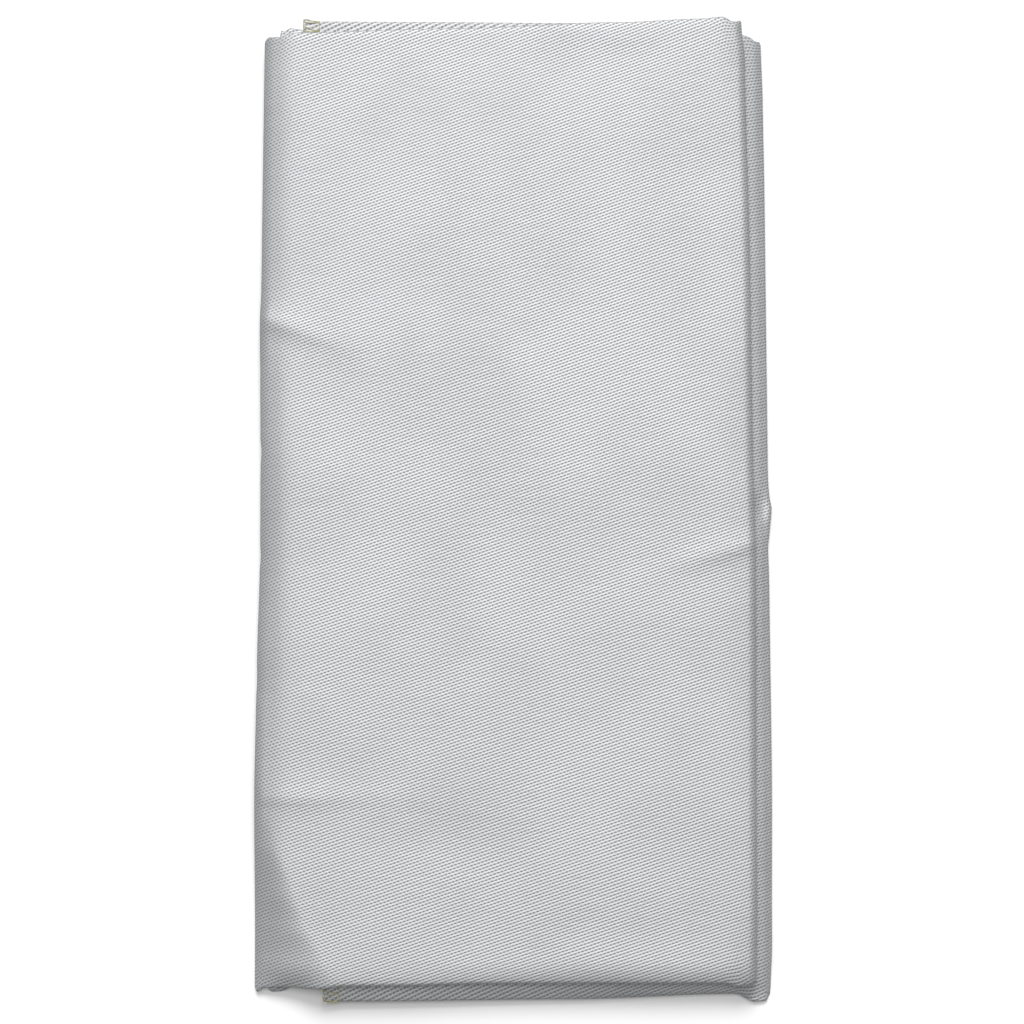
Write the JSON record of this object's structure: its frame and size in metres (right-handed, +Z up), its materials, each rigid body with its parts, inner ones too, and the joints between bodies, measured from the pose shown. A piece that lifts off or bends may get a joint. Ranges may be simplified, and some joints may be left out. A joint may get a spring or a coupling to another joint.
{
  "type": "fire blanket",
  "caption": "Folded fire blanket: silver-grey coated glass-cloth sheet with overlocked edges, folded in thirds, sides in, then closed like a book.",
  "frame": {"origin": "centre of the folded pack's footprint, on the surface that it lies on", "axes": "+X from the spine to the open side, +Y along the spine, +Z up out of the pack's visible front face"},
  "size_m": [0.316, 0.61, 0.0218],
  "materials": {
    "coated_cloth": "silver-grey coated glass-fibre satin weave, soft metallic sheen",
    "edge_thread": "matt olive-yellow heat-resistant overlock thread"
  },
  "bodies": {
    "back_half": {"back_inner_bottom_fold": "coated_cloth", "back_inner_centre_third": "coated_cloth", "back_inner_end_seam_lower": "edge_thread", "back_inner_end_seam_upper": "edge_thread", "back_inner_lower_third": "coated_cloth", "back_inner_side_seam_centre": "edge_thread", "back_inner_side_seam_lower": "edge_thread", "back_inner_side_seam_upper": "edge_thread", "back_inner_top_fold": "coated_cloth", "back_inner_upper_third": "coated_cloth", "back_outer_bottom_fold": "coated_cloth", "back_outer_centre_third": "coated_cloth", "back_outer_end_seam_lower": "edge_thread", "back_outer_end_seam_upper": "edge_thread", "back_outer_lower_third": "coated_cloth", "back_outer_top_fold": "coated_cloth", "back_outer_upper_third": "coated_cloth", "back_side_fold_centre": "coated_cloth", "back_side_fold_lower": "coated_cloth", "back_side_fold_upper": "coated_cloth", "spine_lower_corner_centre": "coated_cloth", "spine_lower_corner_lower": "coated_cloth", "spine_lower_corner_upper": "coated_cloth"},
    "spine": {"spine_wall_centre": "coated_cloth", "spine_wall_lower": "coated_cloth", "spine_wall_upper": "coated_cloth"},
    "front_half": {"front_inner_bottom_fold": "coated_cloth", "front_inner_centre_third": "coated_cloth", "front_inner_end_seam_lower": "edge_thread", "front_inner_end_seam_upper": "edge_thread", "front_inner_lower_third": "coated_cloth", "front_inner_side_seam_centre": "edge_thread", "front_inner_side_seam_lower": "edge_thread", "front_inner_side_seam_upper": "edge_thread", "front_inner_top_fold": "coated_cloth", "front_inner_upper_third": "coated_cloth", "front_outer_bottom_fold": "coated_cloth", "front_outer_centre_third": "coated_cloth", "front_outer_end_seam_lower": "edge_thread", "front_outer_end_seam_upper": "edge_thread", "front_outer_lower_third": "coated_cloth", "front_outer_top_fold": "coated_cloth", "front_outer_upper_third": "coated_cloth", "front_side_fold_centre": "coated_cloth", "front_side_fold_lower": "coated_cloth", "front_side_fold_upper": "coated_cloth", "spine_upper_corner_centre": "coated_cloth", "spine_upper_corner_lower": "coated_cloth", "spine_upper_corner_upper": "coated_cloth"}
  },
  "joints": [
    {"name": "back_crease", "type": "hinge", "parent": "back_half", "child": "spine", "pos_m": [-0.158, 0, 0.007], "axis": [0, -1, 0], "range_deg": [0, 90]},
    {"name": "front_crease", "type": "hinge", "parent": "spine", "child": "front_half", "pos_m": [-0.158, 0, 0.0148], "axis": [0, -1, 0], "range_deg": [0, 90]}
  ],
  "couplings": [
    {"joint": "back_crease", "follows": "front_crease", "ratio": 1}
  ]
}
